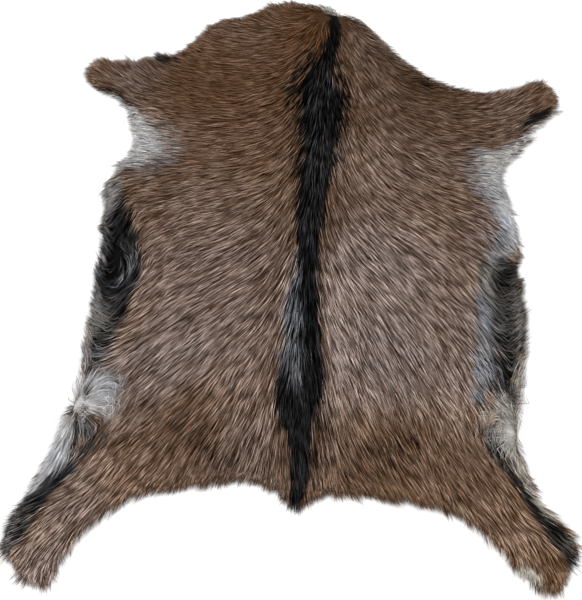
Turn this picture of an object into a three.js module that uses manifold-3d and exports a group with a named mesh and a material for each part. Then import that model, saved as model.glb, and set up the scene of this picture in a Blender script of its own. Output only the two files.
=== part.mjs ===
// A tanned goatskin with its hair on, laid out flat, hair side up.
// Millimetres, +Z up. The neck is at +Y, the hind legs at -Y, and the origin is on the floor
// under the middle of the back. The whole skin is one solid: a low slab of skin and pile,
// higher along the back and thin at the edge, with a row of hair locks fused into its rim.
import * as THREE from "three";
import { mergeVertices } from "three/addons/utils/BufferGeometryUtils.js";
import Module from "manifold-3d";

const wasm = await Module();
wasm.setup();

// Skin and pile: the pile rises from the cut edge over pileRise, and the back has more
const skinThickness = 2;
const edgePile = 4;
const bodyPile = 11;
const legPile = 7;
const legsFrom = { x: 150, y: 330 };
const legsFull = { x: 330, y: 480 };
const backPile = 6;
const backWidth = 38;
const pileRise = 46;

// Tufts: low ridges in the pile that lie with the hair
const tuftHeight = 6.4;
const tuftWidth = 34;
const tuftSteps = [-34, -17, 0, 17, 34];

// Locks at the rim: their pitch along it, their root, and how much one differs from the next
const lockPitch = 15.2;
const lockWidth = 10.5;
const lockRootDepth = 7;
const lockTaper = 1.6;
const lockBend = { outward: 0.25, along: 0.2 };
const lockReach = { least: 0.8, most: 1.25 };
const lockHeight = { least: 0.7, most: 0.92 };
const lockTurn = 11;

// The block that the slab is cut from
const fieldPitch = 20;
const fieldHalfWidth = 486;
const fieldHalfLength = 560;
const fieldDepth = 5;
const cutHeight = 60;

// The edge of the skin, clockwise from the neck. Each row is one place on the edge: where it is,
// the heading of the hair there in degrees (0 is +X, 90 is the neck end) and how far locks reach.
const neckRight = [
  { x: -54, y: 520, hair: 140, reach: 17 },
  { x: -20, y: 528, hair: 122, reach: 13 },
  { x: 55, y: 510, hair: 80, reach: 12 },
  { x: 96, y: 492, hair: 0, reach: 12 },
  { x: 150, y: 441, hair: 5, reach: 15 },
  { x: 207, y: 382, hair: -2, reach: 14 },
  { x: 254, y: 350, hair: 0, reach: 14 },
];
const rightForeleg = [
  { x: 300, y: 334, hair: 22, reach: 13 },
  { x: 365, y: 332, hair: 38, reach: 15 },
  { x: 433, y: 350, hair: 42, reach: 16 },
  { x: 450, y: 322, hair: 12, reach: 18 },
  { x: 443, y: 298, hair: 8, reach: 20 },
  { x: 400, y: 262, hair: 6, reach: 22 },
  { x: 362, y: 210, hair: 3, reach: 21 },
];
const rightFlank = [
  { x: 347, y: 178, hair: -15, reach: 16 },
  { x: 353, y: 125, hair: -36, reach: 20 },
  { x: 363, y: 50, hair: -46, reach: 22 },
  { x: 356, y: -5, hair: 0, reach: 14 },
  { x: 360, y: -60, hair: 38, reach: 20 },
  { x: 357, y: -130, hair: 44, reach: 19 },
  { x: 344, y: -215, hair: 48, reach: 14 },
];
const rightHindLeg = [
  { x: 336, y: -270, hair: -20, reach: 12 },
  { x: 337, y: -325, hair: -52, reach: 14 },
  { x: 375, y: -408, hair: -34, reach: 19 },
  { x: 406, y: -452, hair: -26, reach: 21 },
  { x: 400, y: -500, hair: -56, reach: 21 },
  { x: 378, y: -520, hair: -80, reach: 21 },
  { x: 342, y: -507, hair: -102, reach: 19 },
  { x: 296, y: -455, hair: -82, reach: 15 },
];
const rump = [
  { x: 235, y: -409, hair: -76, reach: 15 },
  { x: 165, y: -386, hair: -72, reach: 14 },
  { x: 90, y: -377, hair: -70, reach: 15 },
  { x: 30, y: -382, hair: -78, reach: 16 },
  { x: -5, y: -397, hair: -95, reach: 17 },
  { x: -38, y: -370, hair: -105, reach: 15 },
  { x: -85, y: -354, hair: -112, reach: 13 },
  { x: -150, y: -360, hair: -112, reach: 14 },
  { x: -246, y: -381, hair: -115, reach: 15 },
];
const leftHindLeg = [
  { x: -300, y: -411, hair: -112, reach: 15 },
  { x: -350, y: -457, hair: -110, reach: 17 },
  { x: -390, y: -508, hair: -98, reach: 21 },
  { x: -424, y: -485, hair: -132, reach: 21 },
  { x: -442, y: -448, hair: -164, reach: 19 },
  { x: -414, y: -393, hair: -154, reach: 19 },
  { x: -385, y: -315, hair: -138, reach: 17 },
];
const leftFlank = [
  { x: -364, y: -250, hair: -160, reach: 12 },
  { x: -346, y: -195, hair: -150, reach: 13 },
  { x: -345, y: -140, hair: 122, reach: 15 },
  { x: -334, y: -45, hair: 142, reach: 17 },
  { x: -326, y: 30, hair: 152, reach: 16 },
  { x: -329, y: 110, hair: -152, reach: 18 },
  { x: -318, y: 178, hair: -158, reach: 20 },
];
const leftForeleg = [
  { x: -293, y: 208, hair: 178, reach: 15 },
  { x: -284, y: 275, hair: 168, reach: 17 },
  { x: -310, y: 322, hair: 176, reach: 20 },
  { x: -366, y: 356, hair: 180, reach: 20 },
  { x: -380, y: 378, hair: 162, reach: 18 },
  { x: -362, y: 402, hair: 134, reach: 19 },
  { x: -300, y: 397, hair: 122, reach: 16 },
  { x: -255, y: 409, hair: 130, reach: 19 },
];
const neckLeft = [
  { x: -215, y: 414, hair: 140, reach: 14 },
  { x: -168, y: 456, hair: 165, reach: 17 },
  { x: -144, y: 484, hair: 148, reach: 15 },
  { x: -90, y: 496, hair: 132, reach: 12 },
];
const edgeRows = [
  ...neckRight, ...rightForeleg, ...rightFlank, ...rightHindLeg, ...rump,
  ...leftHindLeg, ...leftFlank, ...leftForeleg, ...neckLeft,
];

// The line of the back, under the long dark hair from the neck to the tail
const backLine = new THREE.CatmullRomCurve3([
  new THREE.Vector3(60, 520, 0),
  new THREE.Vector3(46, 390, 0),
  new THREE.Vector3(32, 210, 0),
  new THREE.Vector3(12, 10, 0),
  new THREE.Vector3(0, -200, 0),
  new THREE.Vector3(-8, -400, 0),
]);

// Soft hollows where the hair parts or turns in a whorl: centre, half sizes, turn and depth
const hollows = [
  { name: "right belly parting", x: 332, y: -95, half: 110, across: 15, turn: 90, depth: 5 },
  { name: "left belly whorl", x: -306, y: -15, half: 55, across: 20, turn: 85, depth: 5 },
  { name: "right groin whorl", x: 326, y: -285, half: 34, across: 20, turn: 95, depth: 3.5 },
  { name: "left groin whorl", x: -342, y: -240, half: 34, across: 22, turn: 75, depth: 3.5 },
  { name: "right thigh line", x: 345, y: -375, half: 95, across: 14, turn: -52, depth: 3 },
  { name: "left thigh line", x: -372, y: -352, half: 95, across: 14, turn: 50, depth: 3 },
];

const degrees = THREE.MathUtils.degToRad(1);
const upward = new THREE.Vector3(0, 0, 1);
const flat = (x, y) => new THREE.Vector3(x, y, 0);
const heading = (angle) => flat(Math.cos(angle * degrees), Math.sin(angle * degrees));

// The edge as an even row of stops: the way along it, the way out of it, and the hair there,
// whose length is its locks' reach
function walkEdge() {
  const curve = new THREE.CatmullRomCurve3(
    edgeRows.map((row) => flat(row.x, row.y)), true, "centripetal");
  const hair = new THREE.CatmullRomCurve3(
    edgeRows.map((row) => heading(row.hair).multiplyScalar(row.reach)), true);
  const count = Math.round(curve.getLength() / lockPitch);
  return Array.from({ length: count }, (_, index) => {
    const share = index / count;
    const side = curve.getTangentAt(share);
    return {
      point: curve.getPointAt(share),
      side,
      outward: flat(-side.y, side.x),
      hair: hair.getPoint(curve.getUtoTmapping(share)),
    };
  });
}

const edge = walkEdge();
const backPoints = backLine.getSpacedPoints(60);

// The nearest stop of the edge, and how far inside the edge the point lies
function nearestEdge(point) {
  let nearest = edge[0];
  let distance = Infinity;
  for (const stop of edge) {
    const gap = stop.point.distanceTo(point);
    if (gap < distance) {
      distance = gap;
      nearest = stop;
    }
  }
  const outside = point.clone().sub(nearest.point).dot(nearest.outward) > 0;
  return { nearest, inside: outside ? 0 : distance };
}

function distanceFromBack(point) {
  return Math.min(...backPoints.map((stop) => stop.distanceTo(point)));
}

// Even, repeatable scatter in 0..1 for a whole-numbered place
function scatter(i, j) {
  const wave = Math.sin(i * 127.1 + j * 311.7) * 43758.5453;
  return wave - Math.floor(wave);
}

function scatterBetween({ least, most }, i, j) {
  return THREE.MathUtils.lerp(least, most, scatter(i, j));
}

function softScatter(x, y) {
  const i = Math.floor(x);
  const j = Math.floor(y);
  const u = THREE.MathUtils.smoothstep(x - i, 0, 1);
  const v = THREE.MathUtils.smoothstep(y - j, 0, 1);
  const low = THREE.MathUtils.lerp(scatter(i, j), scatter(i + 1, j), u);
  const high = THREE.MathUtils.lerp(scatter(i, j + 1), scatter(i + 1, j + 1), u);
  return THREE.MathUtils.lerp(low, high, v);
}

// Averaging the scatter along the hair draws it out into ridges that lie with it
function tuftRise(point, flow) {
  const total = tuftSteps.reduce((sum, step) => {
    const x = point.x + flow.x * step;
    const y = point.y + flow.y * step;
    return sum + softScatter(x / tuftWidth, y / tuftWidth);
  }, 0);
  return tuftHeight * (2 * total / tuftSteps.length - 1);
}

function hollowDepth(point) {
  return hollows.reduce((depth, hollow) => {
    const local = flat(point.x - hollow.x, point.y - hollow.y)
      .applyAxisAngle(upward, -hollow.turn * degrees);
    const far = (local.x / hollow.half) ** 2 + (local.y / hollow.across) ** 2;
    return depth + hollow.depth * Math.exp(-far);
  }, 0);
}

// How high the pile stands over the floor at a place on the skin
function pileHeight(point) {
  const { nearest, inside } = nearestEdge(point);
  const fromBack = distanceFromBack(point);
  const rise = THREE.MathUtils.smoothstep(inside, 0, pileRise);
  const legs = THREE.MathUtils.smoothstep(Math.abs(point.x), legsFrom.x, legsFull.x)
    * THREE.MathUtils.smoothstep(Math.abs(point.y), legsFrom.y, legsFull.y);
  const body = THREE.MathUtils.lerp(bodyPile, legPile, legs);
  const back = backPile * Math.exp(-((fromBack / backWidth) ** 2));
  const rimShare = THREE.MathUtils.smoothstep(fromBack / (fromBack + inside), 0, 1);
  const flow = heading(-90).lerp(nearest.hair.clone().normalize(), rimShare).normalize();
  const lumps = (tuftRise(point, flow) - hollowDepth(point)) * rise;
  return skinThickness + THREE.MathUtils.lerp(edgePile, body + back, rise) + lumps;
}

function solidOf(geometry) {
  geometry.deleteAttribute("normal");
  geometry.deleteAttribute("uv");
  const merged = mergeVertices(geometry);
  return new wasm.Manifold(new wasm.Mesh({
    numProp: 3,
    vertProperties: new Float32Array(merged.attributes.position.array),
    triVerts: new Uint32Array(merged.index.array),
  }));
}

// A block whose top follows the pile, on a square grid
function pileBlock() {
  const block = new THREE.BoxGeometry(
    2 * fieldHalfWidth, 2 * fieldHalfLength, 1,
    Math.round(2 * fieldHalfWidth / fieldPitch), Math.round(2 * fieldHalfLength / fieldPitch), 1);
  const places = block.attributes.position;
  for (let k = 0; k < places.count; k += 1) {
    const point = flat(places.getX(k), places.getY(k));
    places.setZ(k, places.getZ(k) > 0 ? pileHeight(point) : -fieldDepth);
  }
  return solidOf(block);
}

function edgePrism() {
  const shape = new THREE.Shape(edge.map((stop) => new THREE.Vector2(stop.point.x, stop.point.y)));
  return solidOf(new THREE.ExtrudeGeometry(shape, { depth: cutHeight, bevelEnabled: false }));
}

// One lock: a three-sided tapered tuft that lies level on the floor and bends into the hair's
// heading, its flat side down and its ridge up
function rimLock({ point, side, outward, hair }, index) {
  const reach = hair.length() * scatterBetween(lockReach, index, 1);
  const turn = scatterBetween({ least: -lockTurn, most: lockTurn }, index, 2);
  const lean = hair.clone().normalize().applyAxisAngle(upward, turn * degrees);
  const path = new THREE.QuadraticBezierCurve3(
    point.clone().addScaledVector(outward, -lockRootDepth),
    point.clone().addScaledVector(outward, lockBend.outward * reach)
      .addScaledVector(lean, lockBend.along * reach),
    point.clone().addScaledVector(lean, reach),
  );
  const rise = (skinThickness + edgePile) * scatterBetween(lockHeight, index, 3);
  const lock = new THREE.ConeGeometry(1, 1, 3, 2);
  const places = lock.attributes.position;
  for (let k = 0; k < places.count; k += 1) {
    const along = places.getY(k) + 0.5;
    const ring = Math.max(1 - along, Number.EPSILON);
    const across = places.getX(k) / ring / Math.sin(60 * degrees);
    const up = (places.getZ(k) / ring + 0.5) / 1.5;
    const taper = 1 - along ** lockTaper;
    const place = path.getPoint(along);
    place.addScaledVector(side, across * lockWidth / 2 * taper);
    place.z = up * rise * taper;
    places.setXYZ(k, place.x, place.y, place.z);
  }
  return solidOf(lock);
}

function goatskinGeometry() {
  let solid = pileBlock().intersect(edgePrism());
  edge.forEach((stop, index) => {
    solid = solid.add(rimLock(stop, index));
  });
  const mesh = solid.getMesh();
  const geometry = new THREE.BufferGeometry();
  geometry.setAttribute("position", new THREE.BufferAttribute(mesh.vertProperties, 3));
  geometry.setIndex(new THREE.BufferAttribute(mesh.triVerts, 1));
  geometry.computeVertexNormals();
  return geometry;
}

const coat = new THREE.MeshStandardMaterial({ color: 0x5b4133, roughness: 0.85, metalness: 0 });

const goatskin = new THREE.Mesh(goatskinGeometry(), coat);
goatskin.name = "goatskin";

const part = new THREE.Group();
part.add(goatskin);

export default part;
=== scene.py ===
import math

import bmesh
import bpy
import numpy as np
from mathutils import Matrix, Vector
from mathutils.geometry import delaunay_2d_cdt
from mathutils.kdtree import KDTree


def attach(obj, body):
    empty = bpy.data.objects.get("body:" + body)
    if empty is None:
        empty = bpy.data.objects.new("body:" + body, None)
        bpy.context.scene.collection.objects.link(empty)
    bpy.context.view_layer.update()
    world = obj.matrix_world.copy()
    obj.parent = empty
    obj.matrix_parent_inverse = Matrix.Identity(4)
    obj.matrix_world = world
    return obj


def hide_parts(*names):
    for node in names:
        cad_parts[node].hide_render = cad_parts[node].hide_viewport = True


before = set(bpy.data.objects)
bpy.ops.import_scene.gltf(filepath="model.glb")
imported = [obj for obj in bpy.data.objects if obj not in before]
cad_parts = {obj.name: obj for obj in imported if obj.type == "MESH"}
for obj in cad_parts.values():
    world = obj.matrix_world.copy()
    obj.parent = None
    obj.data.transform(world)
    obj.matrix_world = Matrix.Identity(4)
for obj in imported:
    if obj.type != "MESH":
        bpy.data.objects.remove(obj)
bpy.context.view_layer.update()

MM = 0.001


# The camera stands past the tail end and looks steeply down on the skin, as the photograph
# was taken. It aims a little below the middle of the back.
CAMERA_AIM = Vector((-0.015, -0.060, 0.0))
CAMERA_DISTANCE = 1.8
CAMERA_ELEVATION = math.radians(68)
CAMERA_LENS = 65.28

camera = bpy.data.objects.new("camera", bpy.data.cameras.new("camera"))
camera.data.lens = CAMERA_LENS
camera_back = Vector((0, -math.cos(CAMERA_ELEVATION), math.sin(CAMERA_ELEVATION)))
camera.location = CAMERA_AIM + camera_back * CAMERA_DISTANCE
camera.rotation_euler = (-camera_back).to_track_quat("-Z", "Y").to_euler()
bpy.context.scene.collection.objects.link(camera)
bpy.context.scene.camera = camera


# The tanned skin is one piece of goat leather about 2 mm thick, cut round the neck, the legs and
# the belly. It lies flat with its suede flesh side down, and its dried edge lifts a little.

# Each row is a place on the cut edge in mm, the heading of the hair there in degrees, 0 to the
# right and 90 to the neck, and how far in mm the hair reaches past the edge.
EDGE = {
    "neck": [
        (-54, 518, 145, 17), (-20, 527, 140, 13), (20, 524, 165, 8), (56, 515, 140, 8),
        (100, 496, -42, 10), (148, 441, -20, 13), (203, 379, -12, 13), (254, 350, -15, 13),
    ],
    "right foreleg": [
        (300, 334, 10, 13), (365, 332, 30, 15), (433, 350, 38, 16), (450, 322, 15, 18),
        (443, 298, 24, 20), (400, 262, 27, 22), (362, 210, 10, 21),
    ],
    "right flank": [
        (341, 178, -12, 12), (346, 125, -38, 16), (359, 50, -58, 18), (352, 2, 12, 13),
        (357, -60, 42, 18), (355, -130, 50, 17), (343, -215, 80, 12),
    ],
    "right hind leg": [
        (342, -275, 120, 10), (341, -322, -84, 11), (362, -402, -48, 12), (403, -452, -40, 20),
        (398, -498, -58, 20), (376, -520, -78, 22), (338, -501, -74, 18), (296, -451, -62, 13),
    ],
    "rump": [
        (237, -406, -60, 13), (165, -386, -60, 14), (90, -377, -60, 15),
        (28, -377, -76, 14), (-4, -391, -93, 19), (-34, -370, -102, 14),
        (-85, -354, -113, 13), (-150, -360, -118, 14), (-246, -375, -128, 13),
    ],
    "left hind leg": [
        (-300, -404, -130, 13), (-348, -452, -122, 15), (-390, -508, -105, 21),
        (-424, -485, -125, 21), (-442, -448, -155, 19), (-414, -393, -145, 19),
        (-382, -312, -112, 16),
    ],
    "left flank": [
        (-364, -250, -150, 9), (-348, -200, 72, 11), (-342, -140, 108, 12),
        (-331, -45, 128, 14), (-325, 30, 128, 12), (-325, 110, -138, 15), (-312, 178, -150, 18),
    ],
    "left foreleg": [
        (-288, 208, 178, 14), (-281, 268, 168, 15), (-306, 324, 150, 15), (-366, 355, 156, 19),
        (-375, 378, 158, 16), (-355, 399, 138, 19), (-300, 396, 128, 18), (-255, 407, 135, 18),
    ],
    "left of the neck": [
        (-215, 414, 155, 14), (-168, 456, 168, 17), (-144, 484, 165, 15), (-90, 496, 172, 12),
    ],
}
EDGE_STEPS = 12
SKIN_THICKNESS = 2.0 * MM
SKIN_MESH = 14 * MM
EDGE_LIFT = 2.2 * MM
EDGE_LIFT_WIDTH = 45 * MM
EDGE_WAVE = 75 * MM
CHART_PITCH = 3 * MM
CHART_MARGIN = 60 * MM


def smooth(low, high, value):
    """0 below low, 1 above high, and a soft step between."""
    share = np.clip((value - low) / (high - low), 0, 1)
    return share * share * (3 - 2 * share)


def closed_curve(places, steps):
    """A centripetal curve through places and back to the first, with steps points a stretch."""
    before, start, end, after = (np.roll(places, shift, axis=0) for shift in (1, 0, -1, -2))
    gaps = [
        np.sqrt(np.linalg.norm(b - a, axis=1, keepdims=True))
        for a, b in ((before, start), (start, end), (end, after))
    ]
    leave = (start - before) / gaps[0] - (end - before) / (gaps[0] + gaps[1]) + (end - start) / gaps[1]
    reach = (end - start) / gaps[1] - (after - start) / (gaps[1] + gaps[2]) + (after - end) / gaps[2]
    leave, reach = leave * gaps[1], reach * gaps[1]
    share = (np.arange(steps) / steps)[None, :, None]
    rise, fall = share * share * (3 - 2 * share), share * share * (share - 1)
    points = (
        start[:, None] * (1 - rise) + end[:, None] * rise
        + leave[:, None] * (share - 2 * share ** 2 + share ** 3) + reach[:, None] * fall
    )
    return points.reshape(-1, places.shape[1])


def is_inside(places, outline):
    """Whether each place lies inside the closed outline."""
    inside = np.zeros(len(places), dtype=bool)
    for (x0, y0), (x1, y1) in zip(outline, np.roll(outline, -1, axis=0)):
        if y0 != y1:
            spans = (y0 > places[:, 1]) != (y1 > places[:, 1])
            inside ^= spans & (places[:, 0] < x0 + (places[:, 1] - y0) * (x1 - x0) / (y1 - y0))
    return inside


edge_rows = np.array([row for rows in EDGE.values() for row in rows], dtype=float)
edge_line = closed_curve(edge_rows[:, :2] * MM, EDGE_STEPS)
edge_tree = KDTree(len(edge_line))
for number, place in enumerate(edge_line):
    edge_tree.insert((*place, 0), number)
edge_tree.balance()

chart_low = edge_line.min(axis=0) - CHART_MARGIN
chart_count = np.ceil((edge_line.max(axis=0) + CHART_MARGIN - chart_low) / CHART_PITCH).astype(int)
chart_x, chart_y = np.meshgrid(*(np.arange(count + 1) for count in chart_count), indexing="ij")
chart_places = chart_low + np.stack([chart_x, chart_y], axis=-1).reshape(-1, 2) * CHART_PITCH


class Chart:
    """Values known on an even grid over the skin, and read back smoothly at any place."""

    def __init__(self, values):
        self.grid = np.asarray(values, dtype=float).reshape(*(chart_count + 1), -1)

    def at(self, places):
        """The values at places on the floor, in metres."""
        spot = np.clip((places - chart_low) / CHART_PITCH, 0, chart_count - 1e-6)
        cell = spot.astype(int)
        (i, j), (u, v) = cell.T, (spot - cell).T[:, :, None]
        low = self.grid[i, j] * (1 - u) + self.grid[i + 1, j] * u
        high = self.grid[i, j + 1] * (1 - u) + self.grid[i + 1, j + 1] * u
        value = low * (1 - v) + high * v
        return value[:, 0] if value.shape[1] == 1 else value


def soft_scatter(places, size, seed):
    """Smooth scatter between -1 and 1 over the skin, with patches of about size."""
    dice = np.random.default_rng(seed)
    count = np.ceil(chart_count * CHART_PITCH / size).astype(int) + 3
    table = dice.uniform(-1, 1, tuple(count))
    spot = np.clip((places - chart_low) / size, 0, count - 2.001)
    cell = spot.astype(int)
    (i, j), (u, v) = cell.T, smooth(0, 1, spot - cell).T
    low = table[i, j] * (1 - u) + table[i + 1, j] * u
    high = table[i, j + 1] * (1 - u) + table[i + 1, j + 1] * u
    return low * (1 - v) + high * v


nearest_edge = [edge_tree.find((*place, 0)) for place in chart_places]
chart_side = np.where(is_inside(chart_places, edge_line), 1.0, -1.0)
inside_chart = Chart(chart_side * np.array([gap for _, _, gap in nearest_edge]))
edge_ahead = np.roll(edge_line, -1, axis=0) - np.roll(edge_line, 1, axis=0)
edge_ahead /= np.linalg.norm(edge_ahead, axis=1, keepdims=True)
edge_outward = np.stack([-edge_ahead[:, 1], edge_ahead[:, 0]], axis=1)


def skin_lift(places):
    """How far the skin stands off the floor: nothing in the middle, low waves at the edge."""
    near_edge = 1 - smooth(0, EDGE_LIFT_WIDTH, inside_chart.at(places))
    return EDGE_LIFT * near_edge * smooth(-0.2, 0.9, soft_scatter(places, EDGE_WAVE, 5))


def skin_top(places):
    """The height of the skin's hair side."""
    return skin_lift(places) + SKIN_THICKNESS


def flat_cut(pitch, inset):
    """A flat sheet cut to the skin's outline less an inset, as a bmesh of even triangles."""
    border = edge_line - inset * edge_outward
    columns, rows = np.ceil(chart_count * CHART_PITCH / pitch / (1, math.sqrt(3) / 2)).astype(int)
    column, row = np.meshgrid(np.arange(columns), np.arange(rows), indexing="ij")
    field = np.stack([column + 0.5 * (row % 2), row * math.sqrt(3) / 2], axis=-1).reshape(-1, 2)
    field = chart_low + field * pitch
    field = field[inside_chart.at(field) > inset + 0.6 * pitch]
    places = [Vector(place) for place in np.concatenate([border, field])]
    loop = [list(range(len(border)))]
    # The 1 asks only for the triangles inside the border
    points, _, faces, *_ = delaunay_2d_cdt(places, [], loop, 1, 1e-6)
    sheet = bmesh.new()
    corners = [sheet.verts.new((*point, 0)) for point in points]
    for face in faces:
        sheet.faces.new([corners[corner] for corner in face])
    bmesh.ops.recalc_face_normals(sheet, faces=sheet.faces)
    if sum(face.normal.z for face in sheet.faces) < 0:
        bmesh.ops.reverse_faces(sheet, faces=sheet.faces)
    return sheet


def thicken(sheet, bottom, top):
    """Gives a flat sheet a second side: bottom and top are heights for places on it."""
    lower = list(sheet.verts)
    raised = bmesh.ops.extrude_face_region(sheet, geom=list(sheet.faces))["geom"]
    upper = [part for part in raised if isinstance(part, bmesh.types.BMVert)]
    for side, heights in ((lower, bottom), (upper, top)):
        places = np.array([vert.co.xy for vert in side])
        for vert, height in zip(side, heights(places)):
            vert.co.z = height
    bmesh.ops.recalc_face_normals(sheet, faces=sheet.faces)


def put(name, mesh):
    """A smooth piece in the scene from a finished mesh."""
    mesh.shade_smooth()
    piece = bpy.data.objects.new(name, mesh)
    bpy.context.scene.collection.objects.link(piece)
    return piece


def put_shape(name, shape):
    """A smooth piece in the scene from a finished bmesh."""
    mesh = bpy.data.meshes.new(name)
    shape.to_mesh(mesh)
    shape.free()
    return put(name, mesh)


class Value:
    """A value in a finish. Arithmetic on it adds Math nodes to the finish."""

    def __init__(self, finish, socket):
        self.finish = finish
        self.socket = socket

    def maths(self, operation, *values):
        sockets = dict(enumerate(values))
        return self.finish.node("ShaderNodeMath", {"operation": operation}, sockets)

    def __add__(self, other):
        return self.maths("ADD", self, other)

    def __sub__(self, other):
        return self.maths("SUBTRACT", self, other)

    def __rsub__(self, other):
        return self.maths("SUBTRACT", other, self)

    def __mul__(self, other):
        return self.maths("MULTIPLY", self, other)

    def __pow__(self, other):
        return self.maths("POWER", self, other)

    __radd__ = __add__
    __rmul__ = __mul__


class Finish:
    """A finish made of nodes on the main shader of a new material."""

    def __init__(self, name):
        self.material = bpy.data.materials.new(name)
        self.material.use_nodes = True
        self.tree = self.material.node_tree
        self.shader = next(n for n in self.tree.nodes if n.type == "BSDF_PRINCIPLED")

    def set(self, node, sockets):
        """Gives a node's sockets their links or constants."""
        for key, value in sockets.items():
            if isinstance(value, Value):
                self.tree.links.new(value.socket, node.inputs[key])
            else:
                node.inputs[key].default_value = value

    def node(self, kind, settings=None, sockets=None, output=0):
        """One output of a new node, with its settings made before its sockets."""
        node = self.tree.nodes.new(kind)
        for key, value in (settings or {}).items():
            setattr(node, key, value)
        self.set(node, sockets or {})
        return Value(self, node.outputs[output])

    def attribute(self, name, output="Fac"):
        return self.node("ShaderNodeAttribute", {"attribute_name": name}, output=output)

    def step(self, value, low, high):
        """0 below low, 1 above high, and a soft step between."""
        sockets = {"Value": value, "From Min": low, "From Max": high}
        return self.node("ShaderNodeMapRange", {"interpolation_type": "SMOOTHSTEP"}, sockets)

    def mix(self, share, first, second):
        """A colour from first at 0 to second at 1. The numbers are the node's colour sockets."""
        sockets = {0: share, 6: first, 7: second}
        return self.node("ShaderNodeMix", {"data_type": "RGBA"}, sockets, output=2)

    def noise(self, scale, detail=3.0, roughness=0.55):
        places = self.node("ShaderNodeTexCoord", output="Object")
        sockets = {"Vector": places, "Scale": scale, "Detail": detail, "Roughness": roughness}
        return self.node("ShaderNodeTexNoise", sockets=sockets)


def tone(red, green, blue):
    """A colour as eyes see it, from 0 to 255 a channel, in the linear values that nodes take."""
    share = np.array([red, green, blue]) / 255
    linear = np.where(share <= 0.04045, share / 12.92, ((share + 0.055) / 1.055) ** 2.4)
    return (*linear.tolist(), 1.0)


def suede_finish():
    """The flesh side: pale tan suede with cloudy tanning marks and a raised fine nap."""
    finish = Finish("suede flesh side")
    clouds = finish.step(finish.noise(9, detail=4), 0.35, 0.68)
    nap = finish.noise(900, detail=2)
    grain = finish.noise(160, detail=4, roughness=0.65)
    colour = finish.mix(clouds, tone(203, 182, 152), tone(176, 148, 114))
    colour = finish.mix(finish.step(grain, 0.45, 0.75) * 0.35, colour, tone(222, 206, 180))
    relief = finish.node("ShaderNodeBump", sockets={
        "Strength": 0.5, "Distance": 0.0006, "Height": grain + nap * 0.6})
    finish.set(finish.shader, {
        "Base Color": colour, "Roughness": 0.9, "Specular IOR Level": 0.2, "Normal": relief})
    return finish.material


skin_cut = flat_cut(SKIN_MESH, inset=0)
skin_area = sum(face.calc_area() for face in skin_cut.faces)
thicken(skin_cut, skin_lift, skin_top)
skin = put_shape("tanned_skin", skin_cut)
skin.data.materials.append(suede_finish())
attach(skin, "root")
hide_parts("goatskin")


# The hair lies as it grew: straight back along the spine, out and down over the sides, along the
# legs, and in whorls and partings at the belly and groin. A row of LAY_ACROSS has the headings at
# one y, at LAY_OFFSETS from the spine. A row of LAY_STROKES is a place and the heading there.
BACK_LINE = [(60, 520), (46, 390), (32, 210), (12, 10), (0, -200), (-8, -400)]
LAY_OFFSETS = (-260, -170, -90, -35, 0, 35, 90, 170, 260)
LAY_ACROSS = {
    500: (165, 168, 178, -155, -88, -52, -30, -12, -8),
    440: (172, 172, -175, -130, -90, -65, -50, -20, -5),
    380: (165, 175, -165, -128, -91, -68, -58, -28, -12),
    300: (172, 178, -160, -125, -91, -70, -58, -22, 0),
    220: (178, -175, -158, -122, -92, -72, -55, -32, -10),
    140: (-165, -165, -155, -122, -92, -65, -48, -30, -20),
    60: (-140, -158, -150, -120, -92, -64, -50, -38, -36),
    -20: (-134, -144, -146, -125, -92, -66, -54, -50, -52),
    -100: (-136, -139, -136, -115, -91, -70, -62, -58, -56),
    -180: (-132, -131, -126, -108, -91, -75, -66, -66, -66),
    -260: (-135, -126, -118, -102, -90, -78, -64, -67, -66),
    -340: (-125, -120, -112, -98, -92, -78, -60, -62, -62),
}
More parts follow.
